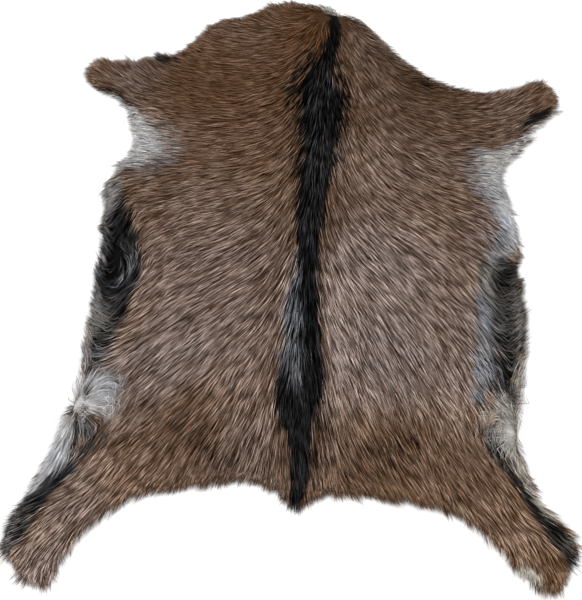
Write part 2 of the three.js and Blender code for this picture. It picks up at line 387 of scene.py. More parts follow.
LAY_STROKES = {
    "left foreleg": [
        (-300, 360, 150), (-345, 380, 143), (-362, 366, 158), (-268, 320, 168), (-272, 392, 140),
    ],
    "left armpit and belly": [
        (-282, 190, -170), (-308, 150, -148), (-318, 128, -138), (-300, 92, -116),
        (-278, 68, -110), (-272, 10, -108), (-289, 12, -78), (-296, 42, -52),
        (-322, 45, 125), (-314, 14, 118), (-326, -5, 108), (-322, -35, 122),
        (-296, -22, -125), (-326, -75, 130), (-288, -60, -128), (-318, -115, 148),
        (-342, -140, 104), (-300, -142, -150), (-338, -172, 98), (-318, -176, -165),
    ],
    "left groin": [
        (-358, -228, 64), (-346, -208, 60), (-334, -196, 48), (-336, -216, 42), (-320, -206, 14),
        (-320, -222, -2), (-306, -216, -38), (-303, -240, -68), (-340, -236, 22), (-326, -242, -18),
        (-314, -258, -68), (-342, -256, -48), (-330, -272, -80), (-350, -274, -78),
        (-344, -296, -92), (-336, -307, -114), (-318, -287, -120), (-362, -268, -86),
        (-364, -300, -93), (-376, -290, -98), (-384, -322, -112), (-326, -300, -135),
        (-346, -326, -132), (-304, -292, -136), (-294, -262, -130), (-288, -224, -132),
    ],
    "left hind leg": [
        (-396, -350, -125), (-340, -350, -140), (-374, -378, -152), (-428, -438, -152),
        (-394, -448, -125), (-402, -484, -112), (-350, -430, -128),
    ],
    "right foreleg": [
        (320, 325, 18), (380, 318, 28), (430, 325, 30),
        (402, 286, 32), (352, 270, 20), (368, 228, 12),
    ],
    "right flank": [
        (330, 190, -8), (344, 135, -30), (348, 82, -46),
        (356, 46, -58), (326, 42, -54), (350, 10, -24),
    ],
    "right belly": [
        (344, -18, 28), (347, -80, 42), (350, -140, 50), (343, -195, 74),
        (312, -18, -66), (312, -80, -55), (309, -150, -60), (326, -195, -80),
    ],
    "right groin": [
        (333, -276, 148), (322, -264, 168), (308, -266, -168), (300, -282, -108), (326, -288, 178),
        (314, -294, -128), (310, -310, -92), (330, -304, -112), (336, -326, -84), (322, -326, -74),
        (332, -348, -66), (318, -240, -52), (336, -244, 108), (294, -262, -64), (290, -300, -62),
        (302, -322, -61), (316, -346, -60), (298, -348, -61), (333, -372, -56), (290, -240, -60),
    ],
    "neck": [(-10, 505, 175), (30, 500, -150), (58, 485, -90), (82, 480, -60)],
    "right hind leg": [
        (352, -374, -45), (350, -405, -50), (395, -458, -40),
        (382, -490, -66), (350, -480, -66), (310, -430, -58),
    ],
}
BROAD_STROKE = 26 * MM
LOCAL_STROKE = 11 * MM
LOCAL_FADE = 32 * MM
BROAD_MARGIN = 30 * MM


def open_curve(places, count):
    """Points at an even pace along a line of straight stretches."""
    walk = np.concatenate([[0], np.cumsum(np.linalg.norm(np.diff(places, axis=0), axis=1))])
    pace = np.linspace(0, walk[-1], count)
    return np.stack([np.interp(pace, walk, column) for column in places.T], axis=1)


def spine_x(y):
    """The spine's x at a y, both in metres."""
    xs, ys = np.array(BACK_LINE[::-1]).T * MM
    return np.interp(y, ys, xs)


def heading(degrees):
    """The direction over the floor for a heading in degrees."""
    turn = np.radians(degrees)
    return np.array([np.cos(turn), np.sin(turn)])


def nearness(x, y, size, fade=math.inf):
    """How much a row at x and y, in mm, counts at each place on the chart."""
    gap = ((chart_places - (x * MM, y * MM)) ** 2).sum(axis=1)
    return (MM ** 2 / (gap + size ** 2)) ** 2 * np.exp(-gap / fade ** 2)


def lay_of_hair():
    """Directions over the whole chart, blended from the rows that lie near each place."""
    across = np.array([
        (spine_x(y * MM) / MM + offset, y, angle)
        for y, angles in LAY_ACROSS.items()
        for offset, angle in zip(LAY_OFFSETS, angles)
    ])
    across = across[inside_chart.at(across[:, :2] * MM) > BROAD_MARGIN]
    local = np.array([row for rows in LAY_STROKES.values() for row in rows], dtype=float)
    local = np.concatenate([local, edge_rows[:, :3]])
    total = np.zeros((len(chart_places), 2))
    for rows, size, fade in ((across, BROAD_STROKE, math.inf), (local, LOCAL_STROKE, LOCAL_FADE)):
        for x, y, angle in rows:
            total += heading(angle) * nearness(x, y, size, fade)[:, None]
    return total / np.linalg.norm(total, axis=1, keepdims=True)


lay_chart = Chart(lay_of_hair())


# The coat's markings: a black stripe down the back, black lines on the thighs and the backs of the
# forelegs, dark belly hair, white armpits and groin, and hairs with silver ends. Each row is a
# place in mm on the line of a marking, its half width there in mm, and its strength.
DARK_LINES = {
    "back": [
        (60, 526, 8, 1), (63, 506, 9, 1), (66, 484, 11, 1), (64, 457, 13, 1), (58, 428, 16, 1),
        (47, 400, 18, 1), (38, 372, 21, 1), (33, 340, 28, 1), (36, 305, 27, 1),
        (36, 265, 26, 1), (33, 225, 25, 1), (30, 185, 25, 1), (25, 145, 25, 1),
        (19, 100, 24, 1), (15, 55, 22, 1), (11, 20, 20, 1), (8, -20, 22, 0.96),
        (4, -60, 27, 0.96), (2, -100, 31, 0.96), (1, -140, 31, 0.96), (0, -180, 36, 0.98),
        (-3, -212, 39, 1), (-8, -238, 35, 1), (-7, -260, 27, 1), (-3, -284, 19, 1),
        (-1, -315, 17, 1), (0, -345, 15, 1), (-4, -378, 11, 1), (-7, -405, 7, 1),
    ],
    "golden neck": [(20, 490, 20, 0.22), (18, 450, 26, 0.28), (2, 405, 24, 0.22)],
    "left of the stripe": [
        (24, 430, 10, 0.4), (6, 385, 18, 0.6), (-8, 345, 24, 0.64), (0, 290, 20, 0.6),
        (2, 240, 18, 0.6), (0, 190, 18, 0.56), (-6, 140, 16, 0.5), (-10, 90, 12, 0.4),
    ],
    "right shoulder of the stripe": [
        (76, 400, 10, 0.55), (76, 360, 14, 0.68), (76, 320, 17, 0.74),
        (72, 270, 16, 0.7), (66, 215, 14, 0.6), (58, 160, 10, 0.45),
    ],
    "right of the tail": [
        (36, -215, 16, 0.42), (34, -280, 20, 0.5), (32, -330, 20, 0.54), (26, -362, 15, 0.5),
    ],
    "left rump": [(-60, -320, 26, 0.4), (-110, -320, 30, 0.5), (-180, -275, 34, 0.5)],
    "right rump": [(90, -345, 34, 0.52), (160, -310, 34, 0.52)],
    "left of the neck": [(-168, 462, 8, 0.35), (-148, 474, 11, 0.45), (-120, 486, 7, 0.4)],
    "above the left foreleg": [
        (-268, 416, 5, 0.8), (-250, 411, 7, 0.8), (-228, 402, 9, 0.65), (-202, 420, 5, 0.5),
    ],
    "right shoulder": [
        (192, 376, 14, 0.3), (225, 357, 17, 0.62), (258, 347, 8, 0.5), (300, 338, 4, 0.4),
    ],
    "right foreleg": [
        (378, 248, 2, 0.7), (392, 266, 5, 1), (412, 279, 7, 1), (428, 290, 8, 1), (443, 302, 5, 1),
    ],
    "under the right foreleg": [(396, 250, 2, 0.8), (424, 266, 2, 0.8), (450, 288, 2, 0.8)],
    "left foreleg": [(-382, 352, 3, 1), (-350, 343, 4, 1), (-318, 329, 4, 1), (-290, 311, 3, 0.8)],
    "left belly": [
        (-318, 136, 18, 0.75), (-310, 106, 24, 0.8), (-305, 72, 31, 1),
        (-299, 40, 37, 1), (-297, 10, 38, 1), (-301, -20, 38, 0.97),
        (-306, -50, 36, 0.92), (-312, -80, 33, 0.8), (-318, -110, 27, 0.74),
        (-322, -140, 23, 0.78), (-332, -165, 15, 0.75), (-338, -185, 8, 0.4),
    ],
    "right belly": [
        (344, 8, 14, 0.9), (340, -14, 24, 1), (344, -60, 24, 1), (345, -100, 24, 0.95),
        (342, -140, 24, 0.92), (332, -180, 21, 0.9), (322, -212, 16, 0.8),
    ],
    "right belly band": [
        (342, 60, 16, 0.5), (330, 30, 18, 0.65), (308, -10, 16, 0.85), (302, -60, 17, 0.85),
        (302, -120, 18, 0.85), (294, -180, 18, 0.8), (282, -230, 12, 0.6),
    ],
    "left thigh": [
        (-312, -278, 4, 0.8), (-320, -290, 6, 1), (-330, -303, 8, 1), (-342, -321, 9, 1),
        (-358, -341, 10, 1), (-379, -361, 12, 1), (-408, -395, 16, 1),
        (-425, -422, 19, 0.95), (-438, -448, 16, 0.9), (-446, -468, 8, 0.6),
    ],
    "left whorl": [(-359, -258, 3, 0.6), (-358, -282, 3.5, 0.85), (-356, -305, 3.5, 0.85)],
    "in the left whorl": [(-354, -250, 9, 0.7), (-345, -268, 10, 0.75), (-342, -290, 10, 0.8)],
    "left groin's parting": [(-346, -222, 2, 0.5), (-338, -208, 2, 0.4)],
    "right thigh": [
        (288, -274, 4, 0.9), (298, -297, 6, 1), (311, -321, 6.5, 1),
        (324, -345, 6.5, 1), (338, -369, 7, 1), (352, -396, 9, 1), (369, -422, 11, 1),
        (388, -446, 13, 1), (402, -468, 13, 0.92), (409, -490, 10, 0.8),
    ],
}
PALE_LINES = {
    "left armpit": [
        (-298, 306, 6, 0.6), (-289, 288, 12, 0.6), (-277, 264, 18, 0.66), (-274, 240, 24, 0.66),
        (-270, 220, 26, 0.62), (-285, 202, 16, 0.58), (-306, 188, 11, 0.5), (-326, 172, 8, 0.5),
    ],
    "left armpit bloom": [(-236, 240, 34, 0.42), (-226, 214, 32, 0.38), (-262, 186, 24, 0.34)],
    "left armpit's edge": [(-300, 275, 8, 0.75), (-298, 245, 10, 0.9), (-302, 215, 10, 0.85)],
    "left belly fringe": [
        (-312, 158, 17, 0.42), (-327, 137, 17, 0.46), (-328, 112, 14, 0.44), (-332, 84, 8, 0.3),
    ],
    "left belly curl": [(-291, 30, 5, 0.34), (-285, 8, 6, 0.4), (-290, -16, 5, 0.36)],
    "under the left foreleg": [
        (-378, 344, 2.5, 0.9), (-350, 335, 3, 0.9), (-322, 323, 3, 0.9), (-300, 305, 4, 0.8),
    ],
    "under the right foreleg": [
        (460, 297, 3, 0.9), (438, 280, 4, 0.9), (412, 261, 4, 0.9), (392, 244, 5, 0.8),
    ],
    "right armpit": [
        (376, 226, 10, 0.66), (356, 206, 20, 0.66), (336, 190, 25, 0.62),
        (338, 160, 26, 0.62), (342, 125, 23, 0.48), (348, 92, 18, 0.38),
    ],
    "right armpit bloom": [(312, 206, 22, 0.45), (306, 180, 24, 0.42), (314, 140, 20, 0.4)],
    "right belly edge": [
        (352, -40, 8, 0.26), (356, -100, 9, 0.3), (352, -160, 9, 0.36),
        (354, -192, 5, 0.7), (346, -222, 6, 0.8),
    ],
    "left belly": [(-322, -60, 14, 0.28), (-325, -100, 18, 0.34), (-325, -150, 16, 0.3)],
    "right belly band": [
        (348, 100, 20, 0.66), (350, 70, 20, 0.64), (356, 36, 15, 0.62), (338, 38, 17, 0.52),
        (322, 12, 12, 0.5), (302, -25, 12, 0.48), (300, -80, 13, 0.46),
        (297, -130, 14, 0.5), (290, -180, 14, 0.52), (282, -228, 11, 0.45),
    ],
    "left belly edge": [(-349, -95, 5, 0.6), (-353, -140, 6, 0.8), (-355, -175, 8, 0.8)],
    "left groin": [
        (-308, -190, 14, 0.5), (-316, -204, 17, 1),
        (-312, -222, 18, 1), (-310, -242, 15, 1), (-316, -260, 9, 0.8),
    ],
    "left groin's edge": [
        (-360, -238, 8, 0.8), (-354, -220, 9, 0.95), (-346, -202, 9, 0.9), (-330, -192, 8, 0.7),
    ],
    "left whorl": [
        (-358, -247, 9, 0.55), (-346, -240, 10, 0.5), (-334, -232, 10, 0.7), (-332, -250, 10, 0.55),
        (-345, -262, 12, 0.5), (-342, -279, 11, 0.47), (-351, -300, 6, 0.45),
    ],
    "left thigh edge": [
        (-369, -264, 6, 0.85), (-371, -286, 9, 1), (-374, -308, 13, 1),
        (-382, -330, 14, 1), (-398, -350, 10, 0.8), (-416, -374, 6, 0.6),
    ],
    "right groin": [
        (326, -232, 16, 0.55), (318, -262, 22, 0.76), (318, -283, 22, 0.8),
        (325, -304, 16, 0.82), (334, -326, 10, 0.74), (341, -346, 7, 0.74),
    ],
    "right thigh edge": [
        (348, -360, 6, 0.8), (355, -376, 5, 0.85), (362, -392, 5, 0.9),
        (374, -409, 4.5, 0.85), (388, -427, 4, 0.75),
    ],
    "right toe": [(332, -504, 11, 0.85), (350, -512, 9, 0.7)],
    "on the stripe": [
        (-12, 0, 8, 0.22), (-14, -50, 13, 0.3), (-16, -110, 14, 0.34),
        (-14, -160, 13, 0.3), (-6, -195, 9, 0.25),
    ],
    "neck edge": [(24, 526, 5, 0.5), (44, 518, 5, 0.7), (80, 506, 5, 0.7)],
    "bare skin in the belly parting": [(-306, -16, 5, 0.5), (-304, -28, 5, 0.6)],
}
SILVER_LINES = {
    "upper stripe": [
        (56, 440, 14, 0.08), (40, 350, 24, 0.32),
        (38, 260, 22, 0.32), (28, 160, 20, 0.3), (14, 60, 16, 0.28),
    ],
    "end of the stripe": [(-2, -290, 16, 0.2), (-3, -360, 12, 0.2)],
    "on the stripe": [
        (-10, 22, 9, 0.6), (-14, -20, 15, 0.85), (-14, -60, 19, 0.92), (-16, -100, 20, 0.92),
        (-16, -140, 19, 0.9), (-14, -180, 16, 0.85), (-8, -210, 9, 0.65), (8, -150, 8, 0.5),
    ],
    "right of the stripe": [
        (48, -10, 12, 0.5), (55, -60, 18, 0.7), (62, -110, 20, 0.6),
        (66, -160, 18, 0.5), (60, -250, 14, 0.3),
    ],
    "left belly": [
        (-318, 140, 18, 1), (-322, 112, 15, 0.8), (-330, 85, 10, 0.5), (-325, 48, 9, 0.3),
    ],
    "left belly curl": [
        (-292, 34, 5, 0.6), (-289, 18, 6, 0.9), (-288, -5, 6, 0.9), (-294, -18, 6, 0.9),
    ],
    "in the left belly curl": [
        (-322, 34, 8, 0.5), (-306, 26, 10, 0.7), (-301, 6, 10, 0.75),
        (-304, -14, 9, 0.7), (-322, -10, 9, 0.55), (-326, 14, 8, 0.5),
    ],
    "left belly edge": [(-324, -60, 14, 0.8), (-328, -100, 18, 0.9), (-326, -150, 18, 0.9)],
    "left flank": [(-300, -110, 12, 0.4), (-302, -150, 16, 0.8), (-296, -176, 14, 0.8)],
    "right belly band": [
        (344, 95, 18, 0.8), (336, 60, 20, 0.8), (322, 25, 18, 0.7), (301, -20, 17, 0.7),
        (301, -80, 18, 0.7), (298, -120, 20, 0.7), (290, -170, 20, 0.75), (281, -222, 16, 0.8),
    ],
    "right belly": [(338, -40, 20, 0.5), (338, -100, 20, 0.6), (334, -150, 18, 0.6)],
    "right belly edge": [(352, -40, 9, 0.7), (354, -100, 9, 0.8), (348, -170, 10, 0.8)],
    "left hind leg": [
        (-300, -350, 24, 0.3), (-350, -405, 26, 0.5), (-385, -460, 24, 0.9), (-396, -500, 18, 1),
    ],
    "left whorl": [(-345, -250, 16, 0.9), (-343, -280, 10, 0.5)],
    "toes": [(-430, -430, 16, 0.9), (-440, -460, 12, 0.9), (400, -462, 14, 0.6)],
    "left armpit": [(-284, 292, 14, 0.5), (-256, 262, 24, 0.7), (-238, 226, 28, 0.8)],
}
# Each row is a place in mm, and how many hairs have silver ends there or how warm its colours are
SILVER = [
    (57, 450, 0.05), (37, 330, 0.12), (20, 120, 0.08), (14, 20, 0.2), (10, -100, 0.2),
    (10, -200, 0.2), (-3, -320, 0.1), (-100, 480, 0.16), (-60, 400, 0.14), (0, 430, 0.12),
    (120, 430, 0.18), (110, 330, 0.22), (-180, 350, 0.08), (-320, 375, 0.22), (220, 290, 0.12),
    (75, 300, 0.04), (250, 350, 0.06), (370, 310, 0.26), (430, 325, 0.2), (-210, 210, 0.2),
    (-100, 210, 0.22), (-60, 130, 0.36), (200, 190, 0.3), (110, 200, 0.38), (-200, 60, 0.34),
    (-120, 20, 0.42), (170, 30, 0.46), (100, 0, 0.64), (260, 100, 0.36), (-220, -80, 0.46),
    (-120, -100, 0.48), (-230, -180, 0.42), (120, -120, 0.5), (240, -100, 0.46), (170, -210, 0.42),
    (80, -240, 0.52), (-100, -220, 0.46), (-180, -280, 0.18), (-70, -300, 0.42), (150, -300, 0.2),
    (-260, -350, 0.36), (-350, -400, 0.44), (-396, -470, 0.7), (250, -350, 0.22), (320, -410, 0.4),
    (375, -490, 0.34), (60, -330, 0.34), (100, -350, 0.12), (-120, -340, 0.2), (260, -220, 0.6),
]
WARMTH = [
    (-80, 460, 0.6), (10, 440, 1), (130, 450, 0.25), (-180, 340, 0.75), (-130, 390, 0.8),
    (-200, 260, 0.7), (-80, 300, 0.85), (200, 300, 0.4), (250, 260, 0.5), (450, 325, 0.8),
    (380, 300, 0.4), (-370, 375, 0.6), (-300, 375, 0.1), (-40, 230, 0.8), (70, 230, 0.5),
    (260, 90, 0.7), (-200, 100, 0.5), (-150, 0, 0.3), (150, 0, 0.15), (-220, -160, 0.1),
    (150, -160, 0.1), (-170, -280, 0.8), (-270, -350, 0.9), (150, -330, 0.9),
    (250, -350, 0.8), (330, -420, 0.9), (-360, -410, 0.4), (-90, -330, 0.4),
    (-310, 60, 0.8), (-310, 0, 0.3), (-320, -90, 0.8), (320, 60, 0.1), (296, -100, 0.1),
    (288, -190, 0.2), (-312, -225, 0.1), (-345, -245, 0.5), (-342, -284, 0.6),
    (-377, -310, 0.1), (315, -265, 0.75), (346, -20, 1), (350, -70, 1), (350, -120, 1),
    (340, -170, 1), (-275, 240, 0.45), (350, 200, 0.6), (-344, -270, 0.8),
    (345, 150, 0.4), (-425, -430, 0.9), (370, -420, 1), (400, -460, 1), (-385, -480, 0.3),
]
SPOT_SIZE = 34 * MM
MARKING_PACE = 4
MARKING_FADE = 2.05


def marking(lines, sharpness):
    """How strongly these markings show over the chart, full up to sharpness half widths away."""
    clear = np.ones(len(chart_places))
    for rows in lines.values():
        rows = np.array(rows, dtype=float)
        length = np.linalg.norm(np.diff(rows[:, :2], axis=0), axis=1).sum()
        best = np.zeros(len(chart_places))
        for x, y, width, strength in open_curve(rows, max(2, int(length / MARKING_PACE))):
            far = np.hypot(chart_places[:, 0] - x * MM, chart_places[:, 1] - y * MM) / (width * MM)
            faded = smooth(sharpness, MARKING_FADE - sharpness, far)
            best = np.maximum(best, strength * (1 - faded))
        clear *= 1 - best
    return 1 - clear


def spots(rows):
    """A value over the whole chart, blended from the spots that lie near each place."""
    total = np.zeros(len(chart_places))
    weight = np.zeros(len(chart_places))
    for x, y, value in rows:
        share = nearness(x, y, SPOT_SIZE)
        total += share * value
        weight += share
    return total / weight


silver_ends = 1 - (1 - spots(SILVER)) * (1 - marking(SILVER_LINES, 0.6))
markings_chart = Chart(
    np.stack([marking(DARK_LINES, 0.7), marking(PALE_LINES, 0.45), silver_ends], axis=1)
)
warmth_chart = Chart(spots(WARMTH))


# Under the long hair lies a short dense undercoat that hides the skin. It is felted low on the
# skin, takes the dark root end of the hair's colours as painted shade, and follows the markings.
UNDERCOAT_MESH = 11 * MM
UNDERCOAT_HEIGHT = 2.6 * MM
UNDERCOAT_TUFTS = 1.3 * MM
UNDERCOAT_GAP = 0.05 * MM
UNDERCOAT_EDGE_HEIGHT = 0.6 * MM
UNDERCOAT_SLOPE = 12 * MM
UNDERCOAT_INSET = 1.5 * MM


def undercoat_bottom(places):
    """The underside of the undercoat, just clear of the skin."""
    return skin_top(places) + UNDERCOAT_GAP


def undercoat_top(places):
    """The top of the undercoat, which slopes down to the edge and has soft tufts."""
    rise = smooth(0, UNDERCOAT_SLOPE, inside_chart.at(places))
    tufts = soft_scatter(places, 9 * MM, 11) + soft_scatter(places, 21 * MM, 12)
    height = UNDERCOAT_EDGE_HEIGHT + rise * (UNDERCOAT_HEIGHT + UNDERCOAT_TUFTS * tufts * 0.5)
    return undercoat_bottom(places) + height


def mark(piece, places):
    """Stores on a piece the coat's markings and warmth at a place for each of its corners."""
    marks = piece.data.attributes.new("markings", "FLOAT_VECTOR", "POINT")
    marks.data.foreach_set("vector", markings_chart.at(places).astype(np.float32).ravel())
    warmth = piece.data.attributes.new("warmth", "FLOAT", "POINT")
    warmth.data.foreach_set("value", warmth_chart.at(places).astype(np.float32))


def coat_colours(finish, along, silvering, tone_and_painted_light):
    """The colour of goat hair: darker to its root as painted shade, brown along it, often silver at
    its end.
    """
    markings = finish.attribute("markings", "Vector")
    split = finish.node("ShaderNodeSeparateXYZ", sockets={0: markings}).socket.node
    dark, pale, silver = (Value(finish, socket) for socket in split.outputs)
    warmth = finish.attribute("warmth")
    # Towards the root the brown and the white hair darken: painted shade deep in the coat under the
    # locks above
    past_shaded_root = finish.step(along, 0.05, 0.65)
    to_end = finish.step(along, 0.05, 0.6)
    shaded_brown_root = finish.mix(warmth, tone(40, 30, 24), tone(46, 28, 16))
    brown = finish.mix(warmth, tone(115, 88, 66), tone(122, 80, 44))
    brown = finish.mix(past_shaded_root, shaded_brown_root, brown)
    silvered = silver * (0.02 + 2.35 * silvering ** 5)
    frost = finish.mix(warmth, tone(228, 211, 208), tone(236, 204, 176))
    brown = finish.mix(to_end * silvered, brown, frost)
    black_end = finish.mix(warmth, tone(182, 190, 206), tone(186, 178, 170))
    black_silver = to_end * (0.03 + 0.9 * silver * silver) * finish.step(silvering, 0.66, 1.0)
    black = finish.mix(black_silver, tone(7, 6, 6), black_end)
    white_end = finish.mix(warmth, tone(240, 244, 254), tone(236, 227, 211))
    white = finish.mix(past_shaded_root, tone(186, 183, 180), white_end)
    white = finish.mix(finish.step(silvering, 0.8, 1.0) * 0.4, white, tone(100, 96, 94))
    grey = finish.mix(warmth, tone(146, 152, 168), tone(150, 144, 132))
    white = finish.mix(finish.step(pale, 0.2, 0.85), grey, white)
    colour = finish.mix(finish.step(dark + (0.5 - tone_and_painted_light) * 0.7, 0.35, 0.65), brown, black)
    colour = finish.mix(finish.step(pale + (tone_and_painted_light - 0.5) * 0.9, 0.35, 0.65), colour, white)
    # The colour is scaled by each lock's random tone, and since higher locks get larger values, by
    # painted light on the top locks and painted shade on the low ones
    shade = 0.14 + 1.14 * tone_and_painted_light + 0.2 * pale
    sockets = {0: colour, "Scale": shade}
    return finish.node("ShaderNodeVectorMath", {"operation": "SCALE"}, sockets)


def undercoat_finish():
    """Felted underwool: the coat's dark root colours as painted shade, broken up by fine fibres."""
    finish = Finish("underwool")
    fibres = finish.noise(420, detail=5, roughness=0.7)
    tufts = finish.noise(90, detail=3)
    # An along of 0.1 to 0.4 keeps the underwool to the dark root colours: painted shade under the hair
    colour = coat_colours(finish, 0.1 + 0.3 * fibres, tufts, fibres)
    relief = finish.node("ShaderNodeBump", sockets={
        "Strength": 0.8, "Distance": 0.0012, "Height": fibres})
    finish.set(finish.shader, {
        "Base Color": colour, "Roughness": 0.95, "Specular IOR Level": 0.15, "Normal": relief})
    return finish.material


undercoat_cut = flat_cut(UNDERCOAT_MESH, UNDERCOAT_INSET)
thicken(undercoat_cut, undercoat_bottom, undercoat_top)
undercoat = put_shape("undercoat", undercoat_cut)
undercoat.data.materials.append(undercoat_finish())
mark(undercoat, np.array([vert.co.xy for vert in undercoat.data.vertices]))
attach(undercoat, "root")
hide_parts("goatskin")


# The down is short hair between the long ones. It grows thick and low, and it shows only the dark
# root end of the coat's colours: painted shade between the locks that lie over it.
# Each row of GROWTH gives the hair at one y, in mm: its length there, and how high it lies.
GROWTH = [
    (-530, 30, 8.0), (-400, 36, 10.0), (-300, 43, 11.5), (-150, 45, 12.0),
    (0, 43, 11.5), (140, 40, 11.0), (280, 35, 10.0), (400, 30, 8.5), (530, 26, 7.0),
]
# The hair gets lower out along the legs, from the first to the second distance in metres
LEG_ACROSS = (0.20, 0.38)
LEG_ALONG = (0.24, 0.36)
LEG_MIDDLE = -0.02
LEG_LOWERS = 0.3
TUFT_PITCH = 11 * MM
TUFT_ROWS = 128
EDGE_TURN_WIDTH = 14 * MM
EDGE_DROOP_WIDTH = 17 * MM
ROOT_INSET = 0.6 * MM
ROOT_CLEARANCE = 0.2 * MM
LOCK_CLEARANCE = 0.5 * MM
DOWN_PITCH = 4.2 * MM
DOWN_WIDTH = 2.5 * MM
FLAT_CELL_SHAPE = 2.2

edge_reach = np.interp(
    np.arange(len(edge_line)) / EDGE_STEPS, np.arange(len(edge_rows)), edge_rows[:, 3] * MM,
    period=len(edge_rows),
)
nearest_number = [number for _, number, _ in nearest_edge]
reach_chart = Chart(edge_reach[nearest_number])
outward_chart = Chart(edge_outward[nearest_number])
tuft_table = np.random.default_rng(31).uniform(0, 1, (TUFT_ROWS, TUFT_ROWS, 4))


def hair_roots(pitch, seed):
    """Places where hair grows: an even field over the skin, each moved a little."""
    dice = np.random.default_rng(seed)
    columns, rows = np.ceil(chart_count * CHART_PITCH / pitch).astype(int)
    column, row = np.meshgrid(np.arange(columns), np.arange(rows), indexing="ij")
    field = np.stack([column, row], axis=-1).reshape(-1, 2) + dice.uniform(0, 1, (columns * rows, 2))
    field = chart_low + field * pitch
    return field[inside_chart.at(field) > ROOT_INSET]


def lock_shape(bend):
    """A lock laid straight, widest at its bend: x and y across it, and z along it from 0 to 1."""
    shape = bmesh.new()
    bmesh.ops.create_cone(
        shape, cap_ends=True, segments=3, radius1=1, radius2=0, depth=1 - bend)
    bmesh.ops.remove_doubles(shape, verts=shape.verts, dist=1e-5)
    bmesh.ops.translate(shape, verts=shape.verts, vec=(0, 0, (1 + bend) / 2))
    if bend:
        base = [face for face in shape.faces if face.calc_center_median().z < bend + 0.01]
        root = bmesh.ops.poke(shape, faces=base)["verts"]
        bmesh.ops.translate(shape, verts=root, vec=(0, 0, -bend))
    bmesh.ops.recalc_face_normals(shape, faces=shape.faces)
    shape.verts.index_update()
    corners = np.array([vert.co for vert in shape.verts])
    faces = np.array([[vert.index for vert in face.verts] for face in shape.faces])
    shape.free()
    return corners, faces


def join_locks(name, solid, faces):
    """One piece from the corners of all its locks, which have the same faces."""
    count, each = solid.shape[:2]
    faces = (faces[None] + (np.arange(count) * each)[:, None, None]).reshape(-1, 3)
    mesh = bpy.data.meshes.new(name)
    mesh.vertices.add(count * each)
    mesh.vertices.foreach_set("co", solid.astype(np.float32).ravel())
    mesh.loops.add(faces.size)
    mesh.loops.foreach_set("vertex_index", faces.astype(np.int32).ravel())
    mesh.polygons.add(len(faces))
    mesh.polygons.foreach_set("loop_start", np.arange(0, faces.size, 3, dtype=np.int32))
    mesh.update(calc_edges=True)
    return put(name, mesh)


def lay_flat(mesh, cell, corners, faces):
    """Gives each lock its own cell in the piece's flat layout, next to its neighbours' cells."""
    count = len(cell)
    rows = math.ceil(math.sqrt(count / FLAT_CELL_SHAPE))
    columns = math.ceil(count / rows)
    spot = np.empty(count, dtype=int)
    spot[np.lexsort((cell[:, 1], cell[:, 0]))] = np.arange(count)
    column, row = spot // rows, spot % rows
    flat = np.stack([
        (column[:, None] + 0.5 + 0.34 * corners[None, :, 0]) / columns,
        (row[:, None] + 0.12 + 0.04 * corners[None, :, 1] + 0.78 * corners[None, :, 2]) / rows,
    ], axis=2)[:, faces]
    mesh.uv_layers.new(name="OFBake").uv.foreach_set("vector", flat.astype(np.float32).ravel())
